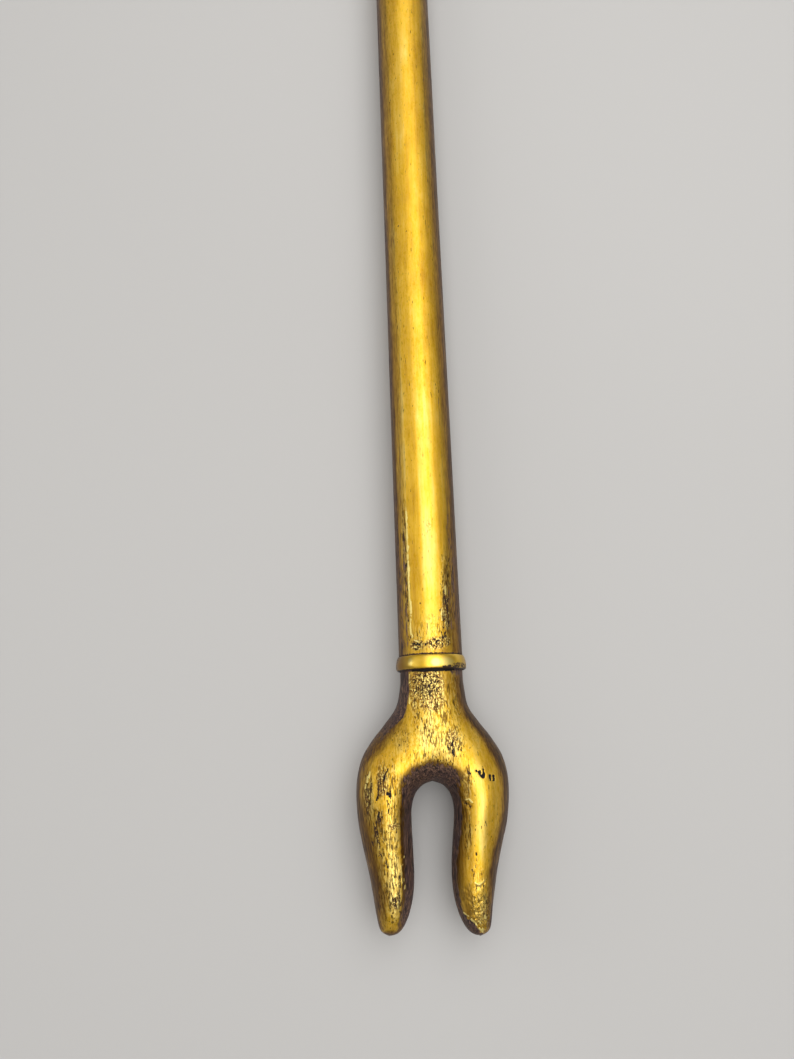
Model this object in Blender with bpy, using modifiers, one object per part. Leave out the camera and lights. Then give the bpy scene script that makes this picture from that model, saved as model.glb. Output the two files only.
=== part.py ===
"""A bishop's crosier of gilded wood, lying on its back on a flat surface.

Metres, +Z up. The shaft runs along Y, the forked foot towards -Y and the crook towards +Y.
The origin is on the surface, under the middle of the staff.
"""

import math

import bmesh
import bpy
import numpy as np
from mathutils import Matrix, Vector

# Driving dimensions of the whole staff
TOTAL_LENGTH = 1.800
SHAFT_RADIUS = 0.014
AXIS_HEIGHT = 0.0157
CROOK_LENGTH = 0.292
FIT_GAP = 0.0003
EDGE_BREAK = 0.0003

# Forked foot, measured towards the tips from a line BAND_LAP inside the lower edge of its band
FOOT_LENGTH = 0.1068
SHORT_PRONG_BY = 0.0010
NECK_RADIUS = 0.0135
CROTCH_AT = 0.0466
FOOT_OUTER = (
    (0.0135, -0.0200),
    (0.0135, 0.0020),
    (0.0138, 0.0080),
    (0.0154, 0.0160),
    (0.0199, 0.0228),
    (0.0251, 0.0293),
    (0.0293, 0.0362),
    (0.0315, 0.0440),
    (0.0319, 0.0520),
    (0.0310, 0.0620),
    (0.0288, 0.0720),
    (0.0263, 0.0820),
    (0.0244, 0.0920),
    (0.0233, 0.0990),
    (0.0220, 0.1042),
    (0.0184, 0.1068),
)
FOOT_INNER = (
    (0.0000, 0.0466),
    (0.0042, 0.0482),
    (0.0072, 0.0515),
    (0.0087, 0.0570),
    (0.0087, 0.0640),
    (0.0080, 0.0740),
    (0.0076, 0.0840),
    (0.0083, 0.0920),
    (0.0104, 0.0994),
    (0.0138, 0.1048),
    (0.0184, 0.1068),
)
FOOT_LEAN = (
    (-0.020, 0.0000),
    (0.006, 0.0000),
    (0.015, -0.0004),
    (0.029, -0.0012),
    (0.044, -0.0015),
    (0.060, -0.0020),
    (0.076, -0.0027),
    (0.092, -0.0030),
    (0.108, -0.0031),
)
FOOT_DEPTH = (
    (-0.0200, 0.0135),
    (0.0080, 0.0135),
    (0.0200, 0.0144),
    (0.0350, 0.0167),
    (0.0520, 0.0184),
    (0.0650, 0.0179),
    (0.0800, 0.0160),
    (0.1070, 0.0130),
)
FOOT_ROUNDING = ((-0.0200, 0.0135), (0.0120, 0.0135), (0.0300, 0.0185), (0.0480, 0.0235), (0.1070, 0.0235))
CROTCH_ROUNDING, GAP_ROUNDING = 0.0165, 0.0125
PRONG_OVAL_FROM, PRONG_OVAL_TO, PRONG_ASPECT = 0.058, 0.086, 1.32
TRUNK_RIBS, CROTCH_RIBS, PRONG_RIBS, RIB_STEPS = 9, 7, 22, 9

# Moulded band that covers a joint: radius, and distance from the edge that faces the carving
BAND_BORE_RADIUS = NECK_RADIUS + FIT_GAP
BAND_PROFILE = (
    (0.01445, 0.0062),
    (0.01478, 0.0054),
    (0.01508, 0.0043),
    (0.01528, 0.0030),
    (0.01531, 0.0019),
    (0.01512, 0.0008),
    (0.01468, 0.0000),
)
BAND_HEIGHT = 0.0062
BAND_LAP = 0.0010
TURNED_SIDES = 40

# Crook, measured along +Y from a line BAND_LAP inside the upper edge of its band
KNOP_END = 0.094
VOLUTE_RADIUS = 0.0655
VOLUTE_SHRINK = 0.116
VOLUTE_SWEEP = math.radians(560)
VOLUTE_START = math.radians(190)
STEM_RISE, STEM_SWING = 0.048, 0.062
CROOK_SECTIONS = (
    (-0.010, 0.0135, 0.0135),
    (0.004, 0.0136, 0.0135),
    (0.016, 0.0152, 0.0142),
    (0.028, 0.0190, 0.0154),
    (0.040, 0.0217, 0.0161),
    (0.052, 0.0213, 0.0159),
    (0.064, 0.0182, 0.0147),
    (0.078, 0.0146, 0.0133),
    (0.094, 0.0127, 0.0124),
    (0.115, 0.0121, 0.0120),
    (0.150, 0.0119, 0.0119),
    (0.200, 0.0118, 0.0118),
    (0.260, 0.0115, 0.0115),
    (0.330, 0.0107, 0.0107),
    (0.400, 0.0094, 0.0094),
    (0.460, 0.0080, 0.0080),
    (0.515, 0.0069, 0.0069),
    (0.550, 0.0065, 0.0065),
    (0.575, 0.0070, 0.0070),
    (0.596, 0.0086, 0.0086),
    (0.616, 0.0093, 0.0093),
)
CROOK_RINGS, CROOK_SIDES, BUD_RINGS = 100, 18, 4

# Where the pieces meet along Y
FOOT_Y = -TOTAL_LENGTH / 2 + FOOT_LENGTH
HEAD_Y = TOTAL_LENGTH / 2 - CROOK_LENGTH
FOOT_BAND_Y, HEAD_BAND_Y = FOOT_Y - BAND_LAP, HEAD_Y + BAND_LAP
FOOT_JOINT_Y = FOOT_BAND_Y + BAND_HEIGHT / 2
HEAD_JOINT_Y = HEAD_BAND_Y - BAND_HEIGHT / 2


def clear_scene():
    for item in list(bpy.data.objects):
        bpy.data.objects.remove(item)


def collection(name):
    found = bpy.data.collections.new(name)
    bpy.context.scene.collection.children.link(found)
    return found


def material(name, colour, metallic, roughness):
    made = bpy.data.materials.new(name)
    made.use_nodes = True
    shader = made.node_tree.nodes["Principled BSDF"]
    shader.inputs["Base Color"].default_value = (*colour, 1.0)
    shader.inputs["Metallic"].default_value = metallic
    shader.inputs["Roughness"].default_value = roughness
    made.diffuse_color = (*colour, 1.0)
    return made


def add_object(name, mesh, group, finish):
    made = bpy.data.objects.new(name, mesh)
    group.objects.link(made)
    mesh.materials.append(finish)
    mesh.shade_smooth()
    mesh.set_sharp_from_angle(angle=math.radians(40))
    return made


def smooth_line(points, count):
    """Points spaced evenly along a Catmull-Rom curve through the given ones."""
    knots = np.array(points, float)
    padded = np.vstack([2 * knots[0] - knots[1], knots, 2 * knots[-1] - knots[-2]])
    steps = np.linspace(0, 1, 24, endpoint=False)[:, None]
    spans = []
    for a, b, c, d in zip(padded, padded[1:], padded[2:], padded[3:]):
        spans.append(
            0.5 * (2 * b + (c - a) * steps + (2 * a - 5 * b + 4 * c - d) * steps**2
                   + (3 * b - a - 3 * c + d) * steps**3)
        )
    dense = np.vstack([*spans, knots[-1:]])
    travelled = np.concatenate([[0], np.cumsum(np.linalg.norm(np.diff(dense, axis=0), axis=1))])
    wanted = np.linspace(0, travelled[-1], count)
    return np.column_stack([np.interp(wanted, travelled, dense[:, i]) for i in range(dense.shape[1])])


def smooth_value(stations, at, column=1):
    """A value given at stations, read smoothly between them."""
    line = smooth_line(stations, 400)
    return np.interp(at, line[:, 0], line[:, column])


def smooth_step(low, high, at):
    share = np.clip((at - low) / (high - low), 0, 1)
    return share * share * (3 - 2 * share)


def distance_to(line, points):
    """Distance in plan from each point to a polyline."""
    start, run = line[:-1], np.diff(line, axis=0)
    offset = points[:, None, :] - start[None, :, :]
    share = np.clip((offset * run).sum(2) / (run * run).sum(1), 0, 1)
    nearest = start + share[:, :, None] * run
    return np.linalg.norm(points[:, None, :] - nearest, axis=2).min(axis=1)


def rounding(distance, radius):
    """A quarter circle: 0 at the edge, 1 from the radius inwards."""
    share = np.clip(distance / radius, 0, 1)
    return np.sqrt(share * (2 - share))


def foot_depths(points, closed, outer, inner):
    """Half thickness of the foot at the points (across, along) of one rib, from its outer edge inwards."""
    along = points[:, 1]
    radius = smooth_value(FOOT_ROUNDING, along)
    gap_radius = CROTCH_ROUNDING + (GAP_ROUNDING - CROTCH_ROUNDING) * smooth_step(CROTCH_AT, 0.062, along)
    body = (
        smooth_value(FOOT_DEPTH, along)
        * rounding(distance_to(outer, points), radius)
        * rounding(distance_to(outer, points * (-1, 1)), radius)
        * rounding(distance_to(inner, points), gap_radius)
    )
    reach = np.linalg.norm(points - points[0], axis=1)
    width = max(reach[-1], 1e-9)
    oval = PRONG_ASPECT * np.sqrt(np.clip(reach * (width - reach), 0, None))
    in_prong = smooth_step(PRONG_OVAL_FROM, PRONG_OVAL_TO, along.mean())
    depths = body * (1 - in_prong) + oval * in_prong
    depths[0] = 0
    if closed:
        depths[-1] = 0
    return depths


def foot_ribs(outer, inner):
    """Ribs across one half of the foot: an outer point, an inner point and how closed the inner end is."""
    side = outer[: int(np.argmax(outer[:, 1] > 0.100))]
    shoulder = CROTCH_AT - CROTCH_ROUNDING
    start = FOOT_Y - FOOT_JOINT_Y + FIT_GAP / 2
    turns = np.linspace(0, math.pi / 2, CROTCH_RIBS, endpoint=False)
    trunk = [(along, 0.0) for along in np.linspace(start, shoulder, TRUNK_RIBS, endpoint=False)]
    trunk += [(shoulder + CROTCH_ROUNDING * math.sin(turn), turn / (math.pi / 2)) for turn in turns]
    ribs = [((np.interp(along, side[:, 1], side[:, 0]), along), (0.0, along), closed) for along, closed in trunk]
    prong = smooth_line(outer[outer[:, 1] >= CROTCH_AT], 800)
    gap = smooth_line(inner, 800)
    turns = np.linspace(0, 1, PRONG_RIBS + 1)
    shares = 0.55 * (1 - np.cos(math.pi * turns)) / 2 + 0.45 * turns
    for share in shares:
        i = int(round(share * 799))
        ribs.append((tuple(prong[i]), tuple(gap[i]), 1.0))
    return ribs


def rib_points(rib):
    """Plan points from the outer edge to the inner end, closer together where the surface turns under."""
    outer, inner, closed = np.array(rib[0]), np.array(rib[1]), rib[2]
    turn = np.linspace(0, math.pi, RIB_STEPS + 1)
    share = (1 - closed) * (1 - np.cos(turn / 2)) + closed * (1 - np.cos(turn)) / 2
    return outer + (inner - outer) * share[:, None]


def foot_place(across, along, up, side):
    """A point of the foot in the staff's frame, with its lean and its shorter left prong."""
    lean = smooth_value(FOOT_LEAN, along)
    shorter = SHORT_PRONG_BY * smooth_step(CROTCH_AT, FOOT_LENGTH, along) if side < 0 else 0.0
    return Vector((side * across + lean, FOOT_Y - along + shorter, AXIS_HEIGHT + up))


def foot_mesh():
    """Both halves of the foot, front and back, as one closed skin."""
    outer, inner = smooth_line(FOOT_OUTER, 400), smooth_line(FOOT_INNER, 400)
    ribs = foot_ribs(outer, inner)
    plans = [rib_points(rib) for rib in ribs]
    depths = [foot_depths(plan, rib[2] == 1.0, outer, inner) for plan, rib in zip(plans, ribs)]
    shell = bmesh.new()
    for side in (1, -1):
        for face in (1, -1):
            grid = [
                [
                    shell.verts.new(foot_place(across, along, face * up, side))
                    for (across, along), up in zip(plan, depth)
                ]
                for plan, depth in zip(plans, depths)
            ]
            for row, below in zip(grid, grid[1:]):
                for i in range(RIB_STEPS):
                    corners = (row[i], row[i + 1], below[i + 1], below[i])
                    shell.faces.new(corners if side * face > 0 else corners[::-1])
    bmesh.ops.remove_doubles(shell, verts=shell.verts, dist=1e-6)
    bmesh.ops.dissolve_degenerate(shell, edges=shell.edges, dist=1e-6)
    bmesh.ops.holes_fill(shell, edges=[e for e in shell.edges if e.is_boundary], sides=0)
    bmesh.ops.recalc_face_normals(shell, faces=shell.faces)
    mesh = bpy.data.meshes.new("forked_foot")
    shell.to_mesh(mesh)
    shell.free()
    return mesh


def volute_point(turned):
    """A point of the volute's centre line about its own centre, clockwise from its start."""
    radius = VOLUTE_RADIUS * math.exp(-VOLUTE_SHRINK * turned)
    angle = VOLUTE_START - turned
    return np.array((radius * math.cos(angle), radius * math.sin(angle)))


def bezier(a, b, c, d, share):
    share = share[:, None]
    return a * (1 - share) ** 3 + 3 * b * share * (1 - share) ** 2 + 3 * c * share**2 * (1 - share) + d * share**3


def crook_line(centre):
    """The crook's centre line in plan: straight through the knop, an S-shaped stem, then the volute."""
    start = HEAD_JOINT_Y - HEAD_Y + FIT_GAP / 2
    knop = np.array([(0.0, along) for along in np.linspace(start, KNOP_END, 60)])
    turned = np.linspace(0, VOLUTE_SWEEP, 900)
    volute = np.array([volute_point(t) for t in turned]) + centre
    heading = volute[1] - volute[0]
    heading /= np.linalg.norm(heading)
    foot = knop[-1]
    stem = bezier(
        foot, foot + np.array((0, STEM_RISE)), volute[0] - heading * STEM_SWING, volute[0],
        np.linspace(0, 1, 200),
    )
    return np.vstack([knop, stem[1:], volute[1:]])


def crook_rings(centre):
    """Ring centres, sideways directions, half widths and half depths, from the neck to the bud."""
    line = crook_line(centre)
    travelled = np.concatenate([[0], np.cumsum(np.linalg.norm(np.diff(line, axis=0), axis=1))])
    start = line[0, 1]
    length = travelled[-1]
    bud = smooth_value(CROOK_SECTIONS, start + length)
    body = np.linspace(0, length - bud, CROOK_RINGS)
    turn = np.linspace(0, math.pi / 2, BUD_RINGS + 1)[1:]
    stations = np.concatenate([body, length - bud + bud * np.sin(turn)])
    closing = np.concatenate([np.ones(CROOK_RINGS), np.cos(turn)])
    places = np.column_stack([np.interp(stations, travelled, line[:, i]) for i in (0, 1)])
    ahead = np.column_stack([np.interp(stations + 1e-4, travelled, line[:, i]) for i in (0, 1)])
    behind = np.column_stack([np.interp(stations - 1e-4, travelled, line[:, i]) for i in (0, 1)])
    heading = ahead - behind
    heading /= np.linalg.norm(heading, axis=1)[:, None]
    sideways = np.column_stack([heading[:, 1], -heading[:, 0]])
    widths, depths = (smooth_value(CROOK_SECTIONS, start + stations, column) * closing for column in (1, 2))
    return places, sideways, widths, depths


def volute_centre():
    """Where the volute sits, so that the crook is as wide left as right of the shaft and has its stated length."""
    centre = np.array((0.0, CROOK_LENGTH - VOLUTE_RADIUS))
    for _ in range(12):
        places, sideways, widths, _ = crook_rings(centre)
        sides = np.vstack([places + sideways * widths[:, None], places - sideways * widths[:, None]])
        centre = centre + (
            -(sides[:, 0].max() + sides[:, 0].min()) / 2,
            CROOK_LENGTH - sides[:, 1].max(),
        )
    return centre


def crook_mesh():
    """Oval rings swept along the crook's line, closed at the neck and drawn to a point at the bud."""
    places, sideways, widths, depths = crook_rings(volute_centre())
    shell = bmesh.new()
    rings = []
    for place, across, width, depth in zip(places, sideways, widths, depths):
        ring = []
        for i in range(CROOK_SIDES):
            angle = 2 * math.pi * i / CROOK_SIDES
            reach = width * math.cos(angle)
            ring.append(
                shell.verts.new(
                    (
                        place[0] + across[0] * reach,
                        HEAD_Y + place[1] + across[1] * reach,
                        AXIS_HEIGHT + depth * math.sin(angle),
                    )
                )
            )
        rings.append(ring)
    for ring, after in zip(rings, rings[1:]):
        for i in range(CROOK_SIDES):
            j = (i + 1) % CROOK_SIDES
            shell.faces.new((ring[i], ring[j], after[j], after[i]))
    shell.faces.new(rings[0])
    bmesh.ops.remove_doubles(shell, verts=rings[-1], dist=1e-6)
    bmesh.ops.recalc_face_normals(shell, faces=shell.faces)
    mesh = bpy.data.meshes.new("crook")
    shell.to_mesh(mesh)
    shell.free()
    return mesh


def cut_flat(piece, cutters):
    """Cuts the piece off flat at the surface that it lies on."""
    bpy.ops.mesh.primitive_cube_add(size=1)
    block = bpy.context.object
    block.name = piece.name + "_ground"
    middle = sum((Vector(corner) for corner in piece.bound_box), Vector()) / 8
    block.data.transform(Matrix.Diagonal((0.4, 0.6, 0.02, 1)))
    block.location = (middle.x, middle.y, -0.01)
    for group in block.users_collection:
        group.objects.unlink(block)
    cutters.objects.link(block)
    block.hide_render = True
    block.display_type = "WIRE"
    cut = piece.modifiers.new("flat_spot", "BOOLEAN")
    cut.operation = "DIFFERENCE"
    cut.solver = "EXACT"
    cut.object = block


def turned(name, outline, group, finish):
    """A piece turned about the staff's axis from an outline of (radius, distance along Y)."""
    mesh = bpy.data.meshes.new(name)
    closed = outline[0][0] > 0
    edges = [(i, i + 1) for i in range(len(outline) - 1)]
    if closed:
        edges.append((len(outline) - 1, 0))
    mesh.from_pydata([(radius, 0, along) for radius, along in outline], edges, [])
    piece = add_object(name, mesh, group, finish)
    turn = piece.modifiers.new("turned", "SCREW")
    turn.axis = "Z"
    turn.angle = 2 * math.pi
    turn.steps = turn.render_steps = TURNED_SIDES
    turn.use_merge_vertices = True
    turn.merge_threshold = 0.00001
    turn.use_smooth_shade = True
    turn.use_normal_calculate = True
    piece.rotation_euler = (-math.pi / 2, 0, 0)
    piece.location = (0, 0, AXIS_HEIGHT)
    return piece


def make_shaft(group, finish):
    """The shaft, with a turned-down spigot at each end that sits inside a band."""
    low, high = FOOT_JOINT_Y + FIT_GAP / 2, HEAD_JOINT_Y - FIT_GAP / 2
    low_shoulder = FOOT_BAND_Y + BAND_HEIGHT + FIT_GAP
    high_shoulder = HEAD_BAND_Y - BAND_HEIGHT - FIT_GAP
    outline = (
        (0, low),
        (NECK_RADIUS, low),
        (NECK_RADIUS, low_shoulder),
        (SHAFT_RADIUS - EDGE_BREAK, low_shoulder),
        (SHAFT_RADIUS, low_shoulder + EDGE_BREAK),
        (SHAFT_RADIUS, low_shoulder + 4 * EDGE_BREAK),
        (SHAFT_RADIUS, high_shoulder - 4 * EDGE_BREAK),
        (SHAFT_RADIUS, high_shoulder - EDGE_BREAK),
        (SHAFT_RADIUS - EDGE_BREAK, high_shoulder),
        (NECK_RADIUS, high_shoulder),
        (NECK_RADIUS, high),
        (0, high),
    )
    turned("shaft", outline, group, finish)


def make_band(name, edge_y, towards_shaft, group, finish):
    """A band with its fuller edge at edge_y, on the side of the carving."""
    outline = [*BAND_PROFILE, (BAND_BORE_RADIUS, 0.0), (BAND_BORE_RADIUS, BAND_HEIGHT)]
    turned(name, [(radius, edge_y + towards_shaft * along) for radius, along in outline], group, finish)


def main():
    clear_scene()
    crosier = collection("crosier")
    cutters = collection("cutters")
    gilding = material("worn_gilding", (0.72, 0.47, 0.12), 0.9, 0.36)
    band_gilding = material("burnished_band", (0.78, 0.53, 0.15), 1.0, 0.26)
    make_shaft(crosier, gilding)
    make_band("foot_band", FOOT_BAND_Y, 1, crosier, band_gilding)
    make_band("head_band", HEAD_BAND_Y, -1, crosier, band_gilding)
    cut_flat(add_object("forked_foot", foot_mesh(), crosier, gilding), cutters)
    cut_flat(add_object("crook", crook_mesh(), crosier, gilding), cutters)


main()
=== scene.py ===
# The looks of a gilded wooden crosier that lies on a pale floor, seen from above its forked foot.
# Metres, +Z up, the staff along Y with its foot towards -Y. Marks and reliefs are in millimetres.
import math
from functools import reduce

import bmesh
import bpy
import numpy as np
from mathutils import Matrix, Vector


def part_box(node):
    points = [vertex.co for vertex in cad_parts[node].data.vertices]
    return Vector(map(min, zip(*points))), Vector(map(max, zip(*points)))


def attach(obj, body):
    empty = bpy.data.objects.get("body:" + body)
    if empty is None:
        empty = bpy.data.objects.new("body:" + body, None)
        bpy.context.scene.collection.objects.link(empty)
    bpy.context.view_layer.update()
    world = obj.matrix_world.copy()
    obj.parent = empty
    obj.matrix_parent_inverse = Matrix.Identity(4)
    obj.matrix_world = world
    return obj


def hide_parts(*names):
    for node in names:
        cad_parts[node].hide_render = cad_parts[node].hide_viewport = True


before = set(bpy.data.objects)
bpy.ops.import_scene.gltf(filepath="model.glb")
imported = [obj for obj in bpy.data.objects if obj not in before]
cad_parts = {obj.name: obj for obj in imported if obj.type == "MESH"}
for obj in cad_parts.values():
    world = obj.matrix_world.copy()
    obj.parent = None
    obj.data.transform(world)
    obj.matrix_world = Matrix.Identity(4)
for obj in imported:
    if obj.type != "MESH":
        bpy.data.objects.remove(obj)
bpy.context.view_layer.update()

scene = bpy.context.scene
mm = 0.001

staff = {
    "footY": -0.7932,  # the foot is measured from here towards its tips
    "headY": 0.6080,  # the crook is measured from here towards its coil
    "axisHeight": 0.0157,
    "shaftRadius": 0.0140,
    "neckRadius": 0.0135,
    "fitGap": 0.0003,
    "bandHeight": 0.0062,
    "bandLap": 0.0010,  # how far a band reaches past those two places
    "frontFades": (-0.5, 1.5),  # where the front begins and is whole, in mm above the axis
}
footBandY = staff["footY"] - staff["bandLap"]
headBandY = staff["headY"] + staff["bandLap"]
footJointY = footBandY + staff["bandHeight"] / 2
headJointY = headBandY - staff["bandHeight"] / 2


# Curves, distances and steady noise

def smoothLine(points, count):  # evenly spaced points on a Catmull-Rom curve
    knots = np.array(points, float)
    padded = np.vstack([2 * knots[0] - knots[1], knots, 2 * knots[-1] - knots[-2]])
    steps = np.linspace(0, 1, 24, endpoint=False)[:, None]
    spans = []
    for a, b, c, d in zip(padded, padded[1:], padded[2:], padded[3:]):
        spans.append(0.5 * (2 * b + (c - a) * steps + (2 * a - 5 * b + 4 * c - d) * steps**2
                            + (3 * b - a - 3 * c + d) * steps**3))
    dense = np.vstack([*spans, knots[-1:]])
    travelled = np.concatenate([[0], np.cumsum(np.linalg.norm(np.diff(dense, axis=0), axis=1))])
    wanted = np.linspace(0, travelled[-1], count)
    return np.column_stack([np.interp(wanted, travelled, dense[:, i]) for i in range(dense.shape[1])])


def smoothValue(stations, at, column=1):
    line = smoothLine(stations, 400)
    return np.interp(at, line[:, 0], line[:, column])


def ramp(low, high, at):
    share = np.clip((at - low) / (high - low), 0, 1)
    return share * share * (3 - 2 * share)


def fade(field, *parts):  # adds up rises along the field, each as (amount, where it begins, where it ends)
    return sum(amount * ramp(low, high, field) for amount, low, high in parts)


def most(*fields):  # the largest of several fields, place by place
    return reduce(np.maximum, fields)


def distanceTo(line, places, chunk=6000):  # from each place to a polyline, in plan
    line = np.array(line, float)
    start, run = line[:-1], np.diff(line, axis=0)
    found = []
    for i in range(0, len(places), chunk):
        offset = places[i:i + chunk, None, :] - start[None, :, :]
        share = np.clip((offset * run).sum(2) / (run * run).sum(1), 0, 1)
        found.append(np.linalg.norm(offset - share[:, :, None] * run, axis=2).min(axis=1))
    return np.concatenate(found)


def steady(x, y, z, seed):  # the same number from 0 to 1 for the same three whole numbers
    mixed = (x * 73856093) ^ (y * 19349663) ^ (z * 83492791) ^ (seed * 2654435761)
    mixed = (mixed & 0xFFFFFFFF) * 1274126177
    mixed = ((mixed >> 15) ^ mixed) & 0xFFFFFFFF
    mixed = (mixed * 668265263) >> 11
    return (mixed & 0xFFFF) / 65535


def lumps(places, size, seed):  # smooth noise from 0 to 1, with lumps of this size along X, Y and Z
    grid = places / np.array(size, float)
    cell = np.floor(grid).astype(np.int64)
    share = grid - cell
    share = share * share * (3 - 2 * share)
    total = np.zeros(len(places))
    for corner in np.ndindex(2, 2, 2):
        weight = np.prod(np.where(corner, share, 1 - share), axis=1)
        total += weight * steady(*(cell + corner).T, seed)
    return total


def waves(places, layers):  # relief from layers of (height, lump size, seed, level that is left flat)
    return sum(height * (lumps(places, size, seed) - level) for height, size, seed, level in layers)


# Meshes and the fields that the finishes read

def addObject(name, data):
    thing = bpy.data.objects.new(name, data)
    scene.collection.objects.link(thing)
    return thing


def makePiece(name, places, faces, finish, weldWithin=0):  # a smooth mesh that faces outwards
    mesh = bpy.data.meshes.new(name)
    mesh.from_pydata(places.tolist(), [], faces)
    shell = bmesh.new()
    shell.from_mesh(mesh)
    if weldWithin:
        bmesh.ops.remove_doubles(shell, verts=shell.verts, dist=weldWithin)
        bmesh.ops.dissolve_degenerate(shell, edges=shell.edges, dist=weldWithin)
        bmesh.ops.holes_fill(shell, edges=[e for e in shell.edges if e.is_boundary], sides=0)
    bmesh.ops.recalc_face_normals(shell, faces=shell.faces)
    shell.to_mesh(mesh)
    shell.free()
    mesh.shade_smooth()
    mesh.materials.append(finish)
    return addObject(name, mesh)


def placesOf(mesh):
    found = np.zeros(len(mesh.vertices) * 3)
    mesh.vertices.foreach_get("co", found)
    return found.reshape(-1, 3)


def normalsOf(mesh):
    found = np.zeros(len(mesh.vertices) * 3, np.float32)
    mesh.vertex_normals.foreach_get("vector", found)
    return found.reshape(-1, 3).astype(float)


def moveTo(mesh, places):
    mesh.vertices.foreach_set("co", places.astype(np.float32).ravel())
    mesh.update()


def setFields(mesh, grain, **fields):  # grain: where a point lies in the wood, straightened out
    made = mesh.attributes.new("grainPlace", "FLOAT_VECTOR", "POINT")
    made.data.foreach_set("vector", grain.astype(np.float32).ravel())
    for name, values in fields.items():
        made = mesh.attributes.new(name, "FLOAT", "POINT")
        made.data.foreach_set("value", np.clip(values, 0, 1).astype(np.float32))


def roundGrid(rows, sides):  # each row's value repeated round the staff, and the way out there
    turn = 2 * math.pi * np.arange(sides) / sides
    values, angle = (grid.ravel() for grid in np.meshgrid(rows, turn, indexing="ij"))
    return values, np.column_stack([np.sin(angle), angle * 0, np.cos(angle)])


def ringFaces(rings, sides, closed=False):  # quads between rings of points, wrapped round
    i, j = np.meshgrid(np.arange(rings if closed else rings - 1), np.arange(sides), indexing="ij")
    here, beside = i * sides + j, i * sides + (j + 1) % sides
    quads = np.stack([here, beside, beside + sides, here + sides], axis=-1) % (rings * sides)
    return quads.reshape(-1, 4).tolist()


wearAndShade = {
    "strokeSoftness": {"spots": 0.45, "scuffs": 0.8, "flakesAndReflection": 0.45},
    "strokeWaver": 0.35,
    "bareBack": 0.3,  # how bare and how dull the leaf is on the underside
    "unevenBack": 0.5,
    "dullBack": 0.55,
    # Painted shade towards the sides. Fades: amount, begin and end. Here from the middle, 0, to a side, 1
    "rightSideShade": ((0.64, 0.52, 0.74), (0.34, 0.72, 0.94)),
    "leftSideShade": ((0.55, 0.3, 0.8), (0.45, 0.78, 0.98)),
}


def strokeField(places, strokes, soften):  # 1 on each stroke, 0 away from it, a half at its edge
    flat = np.column_stack([places, places[:, 0] * 0])
    waver = (lumps(flat, (0.8, 1.3, 1), 31) - 0.5) * wearAndShade["strokeWaver"]
    field = np.zeros(len(places))
    for halfWidth, *line in strokes:
        if len(line) == 1:
            line.append((line[0][0], line[0][1] + 0.05))
        line = np.array(line, float)
        low, high = line.min(0) - 3, line.max(0) + 3
        near = np.all((places > low) & (places < high), axis=1)
        if near.any():
            reach = distanceTo(line, places[near]) - halfWidth + waver[near]
            field[near] = np.maximum(field[near], 1 - ramp(-soften, soften, reach))
    return field


def zoneField(places, zones):  # soft ovals: (across, along, half width, half length, amount)
    field = np.zeros(len(places))
    for across, along, halfWidth, halfLength, amount in zones:
        reach = np.hypot((places[:, 0] - across) / halfWidth, (places[:, 1] - along) / halfLength)
        field = np.maximum(field, amount * (1 - ramp(0.55, 1.25, reach)))
    return field


def measured(places):  # across and along, the whole place, both in mm, and 1 on the front
    spot = np.column_stack([places[:, 0], staff["footY"] - places[:, 1]]) / mm
    front = ramp(*staff["frontFades"], (places[:, 2] - staff["axisHeight"]) / mm)
    return spot, places / mm, front


def marksOf(piece, spot, front):  # a piece's strokes and zones, on its front only
    marks = {}
    for name, soften in wearAndShade["strokeSoftness"].items():
        marks[name] = strokeField(spot, piece[name], soften) * front
    for name in ("wear", "pits", "bright"):
        marks[name] = zoneField(spot, piece[name]) * front
    return marks


def wearBack(patina, tarnish, front, solid, length, kept=1.0):  # browned and dulled underneath
    bare = wearAndShade["bareBack"] + wearAndShade["unevenBack"] * (lumps(solid, (9, length, 9), 5) - 0.35)
    patina = patina * front + np.maximum(patina * kept, bare) * (1 - front)
    return patina, np.maximum(tarnish, wearAndShade["dullBack"] * (1 - front))


def paintedSideShade(across):  # painted shade, partly tarnish: the leaf darkens to brown towards both sides, sooner on the right
    return most(fade(across, *wearAndShade["rightSideShade"]), fade(-across, *wearAndShade["leftSideShade"]))


# Finishes

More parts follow.
